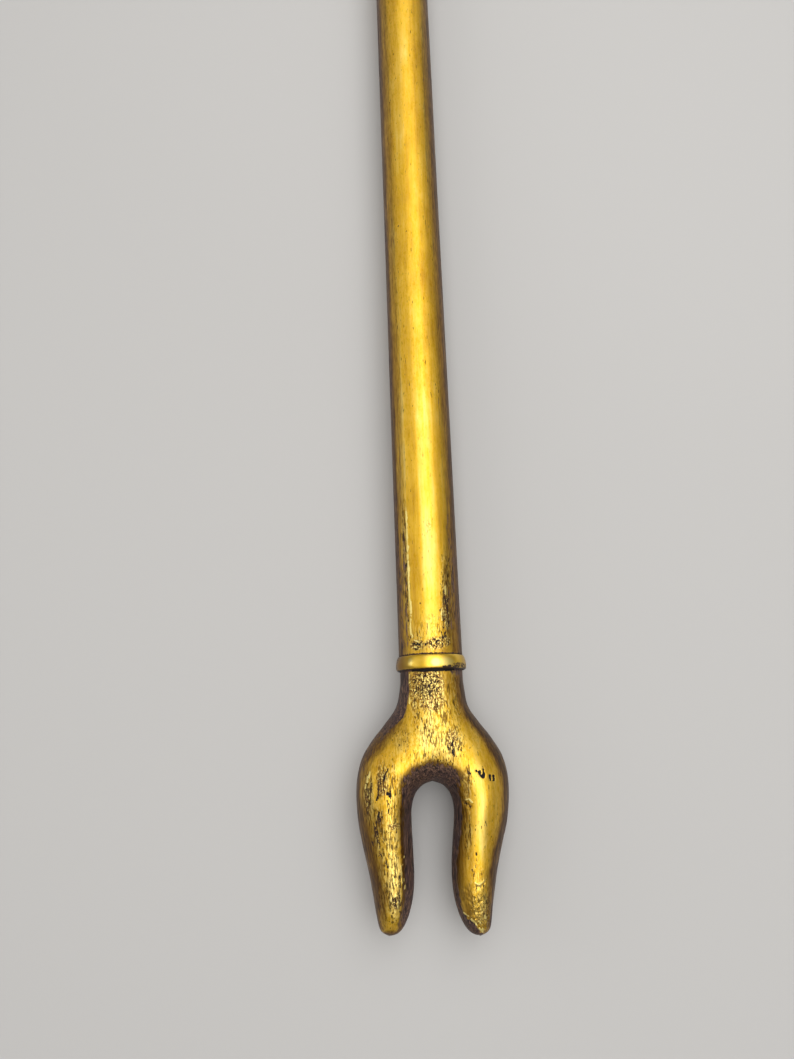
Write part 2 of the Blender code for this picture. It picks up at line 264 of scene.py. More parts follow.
class Nodes:  # short calls for wiring one material

    def __init__(self, name):
        self.material = bpy.data.materials.new(name)
        self.material.use_nodes = True
        self.tree = self.material.node_tree
        self.shader = self.tree.nodes["Principled BSDF"]

    def add(self, kind, inputs=None, **settings):
        made = self.tree.nodes.new("ShaderNode" + kind)
        for key, value in settings.items():
            setattr(made, key, value)
        self.fill(made, inputs or {})
        return made

    def fill(self, node, inputs):
        for key, value in inputs.items():
            self.put(value, node.inputs[key])

    def put(self, value, socket):
        if isinstance(value, bpy.types.NodeSocket):
            self.tree.links.new(value, socket)
        else:
            socket.default_value = value

    def field(self, name):
        return self.add("Attribute", attribute_name=name).outputs["Fac"]

    def grainPlace(self, stretch):  # the place in the wood, drawn out along the grain
        place = self.add("Attribute", attribute_name="grainPlace").outputs["Vector"]
        drawn = self.add("VectorMath", {0: place, 1: (1, 1 / stretch, 1)}, operation="MULTIPLY")
        return drawn.outputs[0]

    def noise(self, size, stretch, detail, rough, shift):  # size of a lump, in mm
        return self.add("TexNoise", {
            "Vector": self.grainPlace(stretch), "W": shift, "Scale": 1 / (2 * size * mm), "Detail": detail,
            "Roughness": rough,
        }, noise_dimensions="4D").outputs["Fac"]

    def maths(self, operation, a, b=0.0, c=0.0):
        return self.add("Math", {0: a, 1: b, 2: c}, operation=operation).outputs[0]

    def times(self, a, b):
        return self.maths("MULTIPLY", a, b)

    def addTimes(self, start, a, b):
        return self.maths("MULTIPLY_ADD", a, b, start)

    def weighted(self, start, *parts):  # adds fields, each as (field, share)
        for field, share in parts:
            start = self.addTimes(start, field, share)
        return start

    def most(self, *values):
        return reduce(lambda a, b: self.maths("MAXIMUM", a, b), values)

    def over(self, value, cut, soften):  # 0 below the cut, 1 above it
        low = self.maths("SUBTRACT", cut, soften)
        high = self.maths("ADD", cut, soften)
        return self.add("MapRange", {"Value": value, "From Min": low, "From Max": high},
                        interpolation_type="SMOOTHSTEP").outputs["Result"]

    def mix(self, share, a, b):  # a and b are colours, or names of colours of the gilding
        a, b = ((*gilding[c], 1) if isinstance(c, str) else c for c in (a, b))
        return self.add("Mix", {"Factor": share, 6: a, 7: b}, data_type="RGBA").outputs[2]

    def coats(self, colour, *coats):  # colours over one another, each as (share, colour)
        for share, coat in coats:
            colour = self.mix(share, colour, coat)
        return colour

    def between(self, share, a, b):  # a number from a to b
        return self.add("Mix", {"Factor": share, 2: a, 3: b}, data_type="FLOAT").outputs[0]

    def bump(self, height):  # height in mm
        inputs = {"Height": self.times(height, mm), "Strength": 1.0, "Distance": 1.0}
        return self.add("Bump", inputs).outputs["Normal"]


gilding = {
    "deepGold": (0.58, 0.29, 0.006),
    "midGold": (0.88, 0.526, 0.028),
    "paleGold": (1, 0.74, 0.18),
    "cream": (1, 0.83, 0.27),
    "rubbedGold": (0.23, 0.112, 0.028),
    "tarnishedGold": (0.18, 0.085, 0.022),
    "umberTarnishAndShade": (0.05, 0.026, 0.011),
    "grainBrown": (0.06, 0.026, 0.007),
    "brownGroundAndShade": (0.088, 0.048, 0.031),
    "plumGroundAndShade": (0.056, 0.032, 0.032),
    "rustGround": (0.2, 0.112, 0.072),
    "sootGround": (0.01, 0.007, 0.007),
    "pitBrown": (0.026, 0.012, 0.005),
    "scuffBrown": (0.034, 0.015, 0.006),
    "blackWear": (0.005, 0.003, 0.003),
    "leafRoughness": 0.41,
    "wornRoughness": 0.49,
    "groundRoughness": 0.58,
    "gloss": 0.24,
    "varnish": 0.42,  # a thin clear coat, on clean leaf only
    "varnishRoughness": 0.42,
    "varnishIor": 1.6,
    # size of a lump in mm, stretch along the grain, detail, roughness and shift of each noise
    "noise": {
        "hair": (0.28, 6, 2, 0.55, 1),
        "fine": (0.34, 6, 2, 0.6, 2),
        "streak": (0.6, 16, 2, 0.6, 3),
        "broad": (2.4, 20, 2, 0.5, 4),
        "mottle": (3.6, 2, 3, 0.5, 5),
        "speck": (0.28, 1.4, 3, 0.6, 6),
        "grit": (0.3, 2.2, 2, 0.62, 7),
        "crease": (0.4, 1.1, 2, 0.6, 8),
    },
}


def wornGildingAndPaintedLight():
    n = Nodes("wornGildingAndPaintedLight")
    patina, tarnish, wear, pits, spots, scuffs, bright, flakesAndReflection, crumble = (n.field(name) for name in (
        "patina", "tarnish", "wear", "pits", "spots", "scuffs", "bright", "flakesAndReflection", "crumble"))
    noise = {name: n.noise(*setting) for name, setting in gilding["noise"].items()}
    hair, fine, streak, mottle, speck, grit, crease = (noise[name] for name in (
        "hair", "fine", "streak", "mottle", "speck", "grit", "crease"))
    centred = {name: n.maths("SUBTRACT", value, 0.5) for name, value in noise.items()}

    def uneven(start, **shares):  # a field with shares of noise added
        return n.weighted(start, *((centred[name], share) for name, share in shares.items()))

    # where the leaf is gone, and where painted shade darkens it
    bare = n.over(uneven(patina, streak=1.4, fine=1.6), 0.5, 0.14)
    holes = n.over(speck, n.addTimes(0.80, pits, -0.290), 0.025)
    scraped = n.over(uneven(n.times(scuffs, 0.50), hair=2.0, speck=1.3), 0.38, 0.07)
    scraped = n.times(scraped, n.over(scuffs, 0.12, 0.10))
    blots = n.over(uneven(spots, speck=0.8, fine=0.6), 0.5, 0.08)
    # pale chips and raised edges, and thin lines of painted reflection
    pale = n.over(uneven(flakesAndReflection, speck=0.7), 0.5, 0.10)
    dark = n.times(n.most(bare, holes, scraped, blots), n.maths("SUBTRACT", 1.0, pale))

    # gold, rubbed, and darkened by tarnish and by painted shade
    # paler gold where the lamps' highlights are painted in
    tone = n.addTimes(uneven(0.5, broad=1.1, mottle=0.8, streak=0.6), bright, 0.40)
    texture = n.maths("ADD", n.times(fine, 0.5), n.times(grit, 0.5))
    rubbed = n.times(n.over(texture, n.addTimes(0.57, wear, -0.07), 0.05), n.addTimes(0.08, wear, 0.42))
    glints = n.times(n.over(texture, 0.47, -0.04), n.times(wear, 0.55))
    dulledAndShaded = uneven(tarnish, streak=0.8, fine=0.6)
    deepDulledAndShaded = n.over(dulledAndShaded, 0.92, 0.22)
    dulledAndShaded = n.times(n.over(dulledAndShaded, 0.5, 0.5), n.over(tarnish, 0.10, 0.10))

    # pits, hair cracks and creases in the gold
    pitted = n.times(n.over(pits, 0.30, 0.25), 0.88)
    hairs = n.over(hair, n.addTimes(0.700, wear, -0.20), 0.024)
    hairs = n.times(hairs, n.between(n.over(mottle, 0.5, 0.2), 0.60, 0.95))
    creased = n.over(n.maths("ABSOLUTE", centred["crease"]), 0.024, 0.014)
    creased = n.times(n.maths("SUBTRACT", 1.0, creased), n.over(crumble, 0.30, 0.15))

    leaf = n.coats(
        "deepGold",
        (n.over(tone, 0.34, 0.30), "midGold"),
        (n.over(tone, 0.80, 0.30), "paleGold"),
        (rubbed, "rubbedGold"),
        (glints, "cream"),
        (dulledAndShaded, n.mix(deepDulledAndShaded, "tarnishedGold", "umberTarnishAndShade")),
        (n.times(n.over(speck, 0.50, 0.04), pitted), "rubbedGold"),
        (n.times(n.over(speck, 0.42, -0.04), pitted), "cream"),
        (n.most(hairs, n.times(creased, 0.85)), "grainBrown"),
        (n.times(pale, 0.90), "cream"),
    )
    # the dark under the leaf, for the bare, worn places and for painted shade
    groundAndShade = n.coats(
        "plumGroundAndShade",
        (n.over(mottle, 0.5, 0.2), "brownGroundAndShade"),
        (n.times(n.over(fine, 0.56, 0.05), 0.8), "rustGround"),
        (n.times(n.over(hair, 0.54, 0.05), 0.85), "sootGround"),
        (holes, "pitBrown"),
        (scraped, "scuffBrown"),
        (blots, "blackWear"),
    )

    rough = n.between(n.over(streak, 0.5, 0.3), gilding["leafRoughness"], gilding["wornRoughness"])
    soiled = n.most(dark, dulledAndShaded, hairs, n.over(texture, 0.54, 0.08))
    height = n.weighted(
        n.times(fine, n.addTimes(0.010, wear, 0.060)),
        (streak, 0.026),
        (grit, n.addTimes(0.006, wear, 0.045)),
        (speck, n.addTimes(0.008, pits, 0.120)),
        (n.times(crease, crumble), 0.30),
        (pale, 0.030),
        (dark, -0.040),
    )
    n.fill(n.shader, {
        "Base Color": n.mix(dark, leaf, groundAndShade),
        "Metallic": n.between(dark, n.between(n.times(deepDulledAndShaded, dulledAndShaded), 1.0, 0.5), 0.10),
        "Roughness": n.between(dark, rough, gilding["groundRoughness"]),
        "Specular IOR Level": gilding["gloss"],
        "Coat Weight": n.times(n.maths("SUBTRACT", 1.0, soiled), gilding["varnish"]),
        "Coat Roughness": gilding["varnishRoughness"],
        "Coat IOR": gilding["varnishIor"],
        "Normal": n.bump(height),
    })
    return n.material


def burnishedBandAndPaintedLight():
    n = Nodes("burnishedBandAndPaintedLight")
    patina, tarnish, bright = n.field("patina"), n.field("tarnish"), n.field("bright")
    rubbed = n.noise(0.5, 0.12, 2, 0.5, 6)  # rubbed round the band, across the staff
    mottle = n.noise(3.0, 1.0, 3, 0.5, 7)
    speck = n.noise(0.30, 1.0, 2, 0.5, 8)
    # dark at the rims and the dirt, and towards the sides as painted shade
    dark = n.over(n.addTimes(patina, n.maths("SUBTRACT", speck, 0.5), 1.2), 0.5, 0.12)
    mottled = n.times(n.over(mottle, 0.5, 0.25), 0.6)
    # cream where a highlight is painted in, and browner towards the sides as painted shade
    leaf = n.coats("midGold", (mottled, "paleGold"), (bright, "cream"), (tarnish, "tarnishedGold"))
    n.fill(n.shader, {
        "Base Color": n.mix(dark, leaf, "pitBrown"),
        "Metallic": n.between(dark, 1.0, 0.15),
        "Roughness": n.between(dark, n.between(rubbed, 0.29, 0.36), 0.5),
        "Normal": n.bump(n.weighted(n.times(rubbed, 0.010), (mottle, 0.020), (dark, -0.030))),
    })
    return n.material


# Forked foot. Its outline is half a foot, (across, along), from the band's edge towards the tips

foot = {
    "length": 0.1068,
    "leftProngShorterBy": 0.0010,
    "crotchAt": 0.0466,
    "outer": (
        (0.0135, -0.02), (0.0135, 0.002), (0.0138, 0.008), (0.0154, 0.016), (0.0199, 0.0228),
        (0.0251, 0.0293), (0.0293, 0.0362), (0.0315, 0.044), (0.0319, 0.052), (0.031, 0.062),
        (0.0288, 0.072), (0.0263, 0.082), (0.0244, 0.092), (0.0233, 0.099), (0.022, 0.1042),
        (0.0184, 0.1068),
    ),
    "inner": (
        (0, 0.0466), (0.0042, 0.0482), (0.0072, 0.0515), (0.0087, 0.057), (0.0087, 0.064), (0.008, 0.074),
        (0.0076, 0.084), (0.0083, 0.092), (0.0104, 0.0994), (0.0138, 0.1048), (0.0184, 0.1068),
    ),
    "lean": (
        (-0.02, 0), (0.006, 0), (0.015, -0.0004), (0.029, -0.0012), (0.044, -0.0015), (0.06, -0.002),
        (0.076, -0.0027), (0.092, -0.003), (0.108, -0.0031),
    ),
    "depth": (
        (-0.02, 0.0135), (0.008, 0.0135), (0.02, 0.0144), (0.035, 0.0167), (0.052, 0.0184),
        (0.065, 0.0179), (0.08, 0.016), (0.107, 0.013),
    ),
    "rounding": (
        (-0.02, 0.0135), (0.012, 0.0135), (0.03, 0.0185), (0.048, 0.0235), (0.107, 0.0235),
    ),
    "crotchRounding": 0.0165,
    "gapRounding": 0.0125,
    "gapStraightFrom": 0.062,
    "prongOval": (0.058, 0.086, 1.32),  # from, to, height for its width
    "ribs": (74, 58, 190),  # trunk, crotch, prong
    "frontSteps": 104,
    "backSteps": 36,
    "weldWithin": 0.000002,
    # From here on in mm. Borders of the painted shade on the flanks, shoulders and edges, as (along, across)
    "darkFlank": (
        (-4, -10), (2, -9.9), (9, -10), (16.3, -11.3), (20.6, -13.1), (23.3, -16.5), (25.2, -18.8),
        (28.8, -20.9), (32.3, -23.3), (35.7, -25.9), (39, -28.8), (44, -32.4), (60, -40), (110, -60),
    ),
    "leftShadeBorder": (
        (-4, -9.6), (12, -9.8), (17, -10.6), (22, -12.6), (28, -17), (34, -22), (38, -25.6), (44, -29.2),
        (50, -29.6), (56, -27.8), (61, -26.2), (66.3, -25.2), (74.4, -23.2), (78.4, -22.4), (82.4, -21.8),
        (86.5, -21.3), (90.6, -21.3), (95, -21.8), (104, -23.4),
    ),
    "rightShadeBorder": (
        (-4, 9.8), (4, 9.4), (14, 9.9), (21.4, 12.2), (26.2, 15.9), (32.3, 19.8), (38.2, 23), (42.8, 24.9),
        (50, 25.8), (58, 25.3), (66, 22.9), (73.5, 20), (81, 18.4), (89, 18.1), (97, 18), (105, 17.6),
    ),
    # widths of the dark faces inside the fork, bare and with painted shade, and of the painted shade along
    # the right edge, as (along, width)
    "leftInside": (
        (46, 6.4), (52, 4.9), (56, 4.4), (66, 4.4), (72, 4.8), (80, 5.2), (86, 5), (90, 4.8), (95, 4.2),
        (98.5, 3.6), (101, 2.8), (103, 1.6), (105, 0.6),
    ),
    "rightInside": (
        (46, 4.2), (52, 3.1), (58, 2.5), (66, 2.2), (73, 1.8), (81, 1.3), (90, 1.9), (101, 1.5),
    ),
    "archInside": 7.6,
    # painted shade, deepening past the two borders
    "leftShade": ((0.58, -1.2, 1.2), (0.34, 1.4, 4.2)),  # fades past the two borders
    "rightShade": ((0.56, -2, 1.3), (0.6, 0.2, 3.2)),
    "rightEdgeShade": ((0, 0.9), (8, 0.9), (20, 0.8), (30, 0.8), (40, 0.9), (60, 1.1), (80, 1.4), (100, 1.3)),
    "leftEdgeShade": 0.6,
    "brokenEdge": ((8.2, 97), (10, 98.4), (12.4, 100.6), (14.3, 103), (15.7, 104.6)),  # of the leaf
    "waver": 0.9,
    "insideWaver": ((0.5, (2, 5, 2), 17, 0.5), (0.8, (0.8, 1.5, 0.8), 23, 0.5)),
    "edgeWaver": ((1.6, (0.9, 1.1, 0.9), 19, 0.5), (1.2, (2.2, 2.6, 2.2), 20, 0.5)),
    "relief": ((0.34, (11, 17, 11), 1, 0.55), (0.16, (4.5, 8, 4.5), 2, 0.5), (0.06, (0.9, 9, 0.9), 3, 0.5)),
    "insideHollow": 0.7,
    # Strokes: half width, then the points they run through, across from the axis and along from the band
    "spots": (
        (0.55, (17, 42.7), (17.1, 43.8), (17.9, 44.8), (18.8, 44.9), (18.8, 43.6)),  # horseshoe
        (0.26, (18.7, 41.8), (18.7, 43.4)), (0.4, (15.7, 42.4)), (0.52, (21.3, 44.5), (21.4, 46.1)),
        (0.5, (22.8, 44.8), (22.9, 46.3)),
        (0.52, (-20.2, 49.6), (-20.4, 50.2)),  # twin blot
        (0.55, (-19.3, 49.7), (-19.4, 51.2)), (0.3, (-20.1, 56.2), (-20.2, 57.5)),
        (0.24, (-22.9, 56.6), (-23, 57.8)), (0.34, (-24.1, 57.2), (-24.3, 59)),
        (0.3, (-21.2, 43.4), (-21.8, 44.6)), (0.28, (-19.9, 40.4), (-20.3, 41.8)),
        (0.28, (-24.6, 51.4), (-24.9, 52.6)), (0.28, (6.8, 30.9), (6.7, 32)),
        (0.28, (6.7, 34), (6.4, 35.2)), (0.18, (14, 73.6), (14.2, 74.7)),
        (0.14, (13.6, 78.3), (13.5, 79.4)),
        (0.5, (-8.4, 1.45), (-3, 1.3), (3, 1.35), (9, 1.4)),  # joint under the band
        (0.42, (-5, 1.6), (2, 1.75), (7, 1.6)),
    ),
    "scuffs": (
        (0.39, (-20, 40), (-20.8, 42.6)), (0.43, (-21.5, 41), (-21.7, 42.8)),
        (0.58, (-21.3, 43.2), (-22, 44.8), (-22.6, 46.4)), (0.47, (-23.4, 44.4), (-23.8, 46.6)),
        (0.55, (-24.1, 47.2), (-24.4, 49.4)), (0.58, (-22.6, 48.4), (-23.8, 50.1), (-24.7, 51.4)),
        (0.39, (-24.8, 51.4), (-25.1, 53.4)), (0.35, (-26.4, 46), (-26.8, 49)),
        (0.42, (-28.6, 48.6), (-29, 51.5), (-28.8, 54.4)), (0.38, (-28.7, 55), (-28.7, 58.4)),
        (0.23, (-19.5, 52), (-19.2, 54.9)), (0.55, (-24, 57), (-23.9, 59.6)),
        (0.31, (-22, 56.8), (-21.7, 58)), (0.47, (-23, 58.8), (-23.6, 60.4)),
        (0.66, (-25.8, 60.8), (-25.4, 64), (-24.7, 68.4)), (0.47, (-24.2, 70), (-24.2, 73.6)),
        (0.39, (-21.8, 76), (-21.3, 79.6)), (0.47, (-22.9, 66.8), (-22.9, 68.6)),
        (0.55, (-27, 68.6), (-27, 70)), (0.27, (-19.6, 70.8), (-19.3, 73)),
        (0.39, (-18.6, 83.6), (-17.8, 84.9)), (0.35, (-19.5, 90), (-19.5, 93.2)),
        (0.31, (-18.3, 90), (-18.6, 93)),
        (0.23, (-16.7, 82), (-16.6, 86.5), (-17.1, 90.4), (-16.9, 96.4)),  # along the left arris
        (0.35, (6.2, 30.4), (7.2, 29.2)),  # squiggles above the gap
        (0.47, (6.9, 30.6), (6.7, 32.2), (7.2, 33), (6.5, 33.9)),
        (0.47, (6.9, 33.9), (6.4, 35.3), (6, 36.4)), (0.33, (6.8, 35.4), (8, 36.9)),
        (0.28, (8.2, 28.5), (8.2, 29.6)), (0.28, (9.3, 28.5), (9.2, 29.8)),
        (0.28, (10.3, 28.6), (10.3, 29.3)), (0.31, (5.2, 31.2), (5.3, 33.4)),
        (0.28, (8.9, 33), (8.8, 34.4)),
        (0.27, (11.6, 46.4), (11.7, 43.3), (12.3, 41.8), (12.8, 43.1), (12.8, 45.9)),  # inverted U
        (0.23, (10.1, 33.4), (10.5, 34.8)), (0.23, (10.9, 36), (10.9, 37)),
        (0.23, (14.5, 50), (14.5, 51.6)),
        (0.28, (14, 86.7), (15.2, 86.9), (16.2, 86.1)),  # under the nail-shaped dent
        (0.39, (10.2, 54.7), (11.5, 55.6), (12.6, 56.3)),  # notch
        (0.25, (12.2, 80), (12.8, 82.4)), (0.62, (-0.9, 3.4), (0.3, 3.5)), (0.31, (-8.8, 3.6), (-9, 6)),
        (0.31, (-7.4, 9), (-7.1, 11)), (0.31, (-4.3, 10.6), (-4, 12.4)), (0.31, (1.6, 9.6), (2.7, 11.6)),
        (0.28, (-5.2, 8.2), (-4.6, 9.4)), (0.28, (-0.9, 6.4), (-0.2, 8)),
    ),
    # Pale raised marks: chips of leaf, edges, and thin lines of painted reflection
    "flakesAndReflection": (
        (0.36, (-28.2, 43.6), (-28.4, 45.6)), (0.24, (-27.4, 41.6), (-27.8, 44)),
        (0.22, (-29.2, 46.6), (-29.4, 48)), (0.22, (-15.8, 77.8), (-15.6, 81), (-15.6, 84.3)),
        (0.34, (-14.2, 74.6)), (0.32, (-15.1, 77.3)), (0.28, (-14.7, 82.7), (-14.7, 83.7)),
        (0.42, (-14.2, 85.6), (-14.3, 86.4)), (0.24, (-20.3, 89.6), (-20.3, 90.6)), (0.26, (-18.9, 91.2)),
        (0.24, (-18.9, 89.2), (-18.4, 89)), (0.24, (-17.6, 91), (-17.7, 93.4)),
        (0.3, (13.3, 84.9), (14.5, 85.8), (15.9, 85.2), (16.8, 84.1)),  # edge of the nail-shaped dent
        (0.24, (8.3, 96.6), (10, 97.8)),  # broken edge of the leaf
        (0.26, (11, 99), (12.4, 100), (13.6, 101.6)), (0.24, (14.3, 102.6), (15.6, 104.2)),
        (0.42, (16.7, 97.7), (17, 98.7)), (0.4, (15.7, 103.2)), (0.3, (14.2, 99.6), (14.8, 100.4)),
        (0.34, (11, 53.6), (12.2, 53.2), (13.3, 54.4)),
        (0.17, (-9.6, 2.8), (-9.8, 6)),  # painted reflection of the lamp on the left, along the border of the dark flank
        (0.17, (-10, 11.5), (-10.2, 15)), (0.2, (-4.6, 3.2), (-4.9, 5)),
    ),
    # Carved marks without paint
    "grooves": (
        (0.5, (10, 54.6), (11.5, 55.5), (12.9, 56.4)), (0.1, (7.6, 87), (9.4, 87.5), (11, 88.7)),
        (0.1, (7.9, 89), (9.6, 89.5), (11.2, 90.6)), (0.1, (8.2, 91), (9.9, 91.5), (11.4, 92.4)),
        (0.4, (13.6, 86.3), (15.2, 86.7), (16.8, 85.3)),
    ),
    # Soft zones: across, along, half width, half length, amount
    "wear": (
        (-1, 18, 9.5, 22, 0.78), (1, 33, 13, 9, 0.66), (-13, 32, 6, 9, 0.45), (6.8, 30.5, 4.6, 8, 0.9),
        (0, 38.5, 14, 4, 0.5), (-22, 45, 3.6, 8, 0.9), (-17.5, 52, 4, 16, 0.7), (-28.2, 52, 2.6, 11, 0.95),
        (-24.6, 64, 3, 11, 0.85), (-20, 76, 4.4, 26, 0.8), (-18.6, 91, 2.8, 6, 0.9), (-23, 86, 3, 16, 0.6),
        (10.8, 60, 2.4, 20, 0.66), (12, 46, 2.4, 7, 0.85), (15, 92, 5, 15, 0.62), (9.6, 12, 3, 14, 0.62),
    ),
    "pits": (
        (-3.2, 7.4, 8, 7, 0.98), (-1, 14.4, 6, 4.6, 0.66), (-8.4, 10, 1.6, 9, 0.6),
        (-18.4, 91.4, 2.4, 2.4, 0.8), (6.8, 30, 2.6, 5, 0.55), (-22.2, 46, 2.4, 5, 0.6),
        (-28.4, 52, 1.6, 6, 0.55), (-18, 62.6, 2.6, 1.6, 0.6), (11.4, 47.5, 1.6, 6, 0.26),
        (15.4, 98, 4.2, 6, 0.3),
    ),
    # painted highlights: paler gold where the lamps' highlights fall on the crests
    "bright": (
        (16.8, 54, 3, 26, 0.4), (-22.4, 53.8, 2.4, 3.4, 0.6), (-18.6, 62, 3.6, 15, 1),
        (-18.4, 84, 3.2, 15, 1), (0.5, 10, 6, 9, 0.8), (3, 28, 9, 12, 0.7), (14.6, 92, 3.6, 10, 1),
    ),
    # tarnished patches; the one at -14.5 across is painted shade
    "tarnish": (
        (-3.5, 6, 13, 8, 0.42), (-14.5, 27, 4, 8, 0.34), (6.5, 8, 4, 8, 0.3), (2, 38, 10, 5, 0.24),
        (-25, 62, 2, 8, 0.42), (-23, 46, 2, 5, 0.42), (-21.2, 86, 1.4, 9, 0.45), (11.4, 60, 2, 22, 0.36),
        (-21, 105.5, 6, 3.6, 0.92), (20, 106, 6, 3, 0.8), (9.8, 92.5, 3.2, 9, 0.5),
    ),
    "nicked": ((-18.8, 66, 3.6, 24, 0.8),),
    "jointDirt": ((11.2, 1.6, 4, 3, 0.62),),
    "crumbled": ((15.2, 97, 4.8, 8, 1), (-18.4, 91.4, 2.2, 2.6, 0.7)),
}


def rounding(distance, radius):  # a quarter circle, 1 from the radius inwards
    share = np.clip(distance / radius, 0, 1)
    return np.sqrt(share * (2 - share))


def footDepths(points, closed, outer, inner):  # half thickness along one rib
    along = points[:, 1]
    radius = smoothValue(foot["rounding"], along)
    blend = ramp(foot["crotchAt"], foot["gapStraightFrom"], along)
    gapRadius = foot["crotchRounding"] + (foot["gapRounding"] - foot["crotchRounding"]) * blend
    body = (
        smoothValue(foot["depth"], along)
        * rounding(distanceTo(outer, points), radius)
        * rounding(distanceTo(outer, points * (-1, 1)), radius)
        * rounding(distanceTo(inner, points), gapRadius)
    )
    reach = np.linalg.norm(points - points[0], axis=1)
    width = max(reach[-1], 1e-9)
    start, end, aspect = foot["prongOval"]
    oval = aspect * np.sqrt(np.clip(reach * (width - reach), 0, None))
    inProng = ramp(start, end, along.mean())
    depths = body * (1 - inProng) + oval * inProng
    depths[0] = 0
    if closed:
        depths[-1] = 0
    return depths


def footRibs(outer, inner):  # outer point, inner point and how closed the inner end is
    trunkRibs, crotchRibs, prongRibs = foot["ribs"]
    side = outer[: int(np.argmax(outer[:, 1] > 0.100))]
    shoulder = foot["crotchAt"] - foot["crotchRounding"]
    start = staff["footY"] - footJointY + staff["fitGap"] / 2
    turns = np.linspace(0, math.pi / 2, crotchRibs, endpoint=False)
    trunk = [(along, 0.0) for along in np.linspace(start, shoulder, trunkRibs, endpoint=False)]
    trunk += [(shoulder + foot["crotchRounding"] * math.sin(t), t / (math.pi / 2)) for t in turns]
    ribs = []
    for along, closed in trunk:
        ribs.append(((np.interp(along, side[:, 1], side[:, 0]), along), (0.0, along), closed))
    prong = smoothLine(outer[outer[:, 1] >= foot["crotchAt"]], 4000)
    gap = smoothLine(inner, 4000)
    turns = np.linspace(0, 1, prongRibs + 1)
    for share in 0.55 * (1 - np.cos(math.pi * turns)) / 2 + 0.45 * turns:
        i = int(round(share * (len(gap) - 1)))
        ribs.append((tuple(prong[i]), tuple(gap[i]), 1.0))
    return ribs


def ribPoints(rib, steps):
    outer, inner, closed = np.array(rib[0]), np.array(rib[1]), rib[2]
    turn = np.linspace(0, math.pi, steps + 1)
    share = (1 - closed) * (1 - np.cos(turn / 2)) + closed * (1 - np.cos(turn)) / 2
    return outer + (inner - outer) * share[:, None]


def footPlan(points, side):  # across and along as carved, to X and Y of the staff
    along = points[:, 1]
    shorter = foot["leftProngShorterBy"] * ramp(foot["crotchAt"], foot["length"], along) * (side < 0)
    return np.column_stack([
        side * points[:, 0] + smoothValue(foot["lean"], along),
        staff["footY"] - along + shorter,
    ])


def footSkin(outer, inner):  # both halves, front and back, as places and faces
    ribs = footRibs(outer, inner)
    places, faces = [], []
    for steps, face in ((foot["frontSteps"], 1), (foot["backSteps"], -1)):
        plans = [ribPoints(rib, steps) for rib in ribs]
        ups = np.array([footDepths(plan, rib[2] == 1.0, outer, inner) for plan, rib in zip(plans, ribs)])
        flat = np.vstack(plans)
        i, j = np.meshgrid(np.arange(len(ribs) - 1), np.arange(steps), indexing="ij")
        here = i * (steps + 1) + j
        quads = np.stack([here, here + 1, here + steps + 2, here + steps + 1], axis=-1).reshape(-1, 4)
        for side in (1, -1):
            first = sum(len(p) for p in places)
            heights = staff["axisHeight"] + face * ups.reshape(-1, 1)
            places.append(np.hstack([footPlan(flat, side), heights]))
            faces.append((quads if side * face > 0 else quads[:, ::-1]) + first)
    return np.vstack(places), [row for part in faces for row in part.tolist()]


def footBorder(name, along):
    return np.interp(along, *zip(*foot[name]))


def toOutline(line, places):  # distance in plan from one line of the outline, on either side, in mm
    sides = [footPlan(line[::5], side) for side in (1, -1)]
    return np.minimum(*[distanceTo(side, places[:, :2]) for side in sides]) / mm


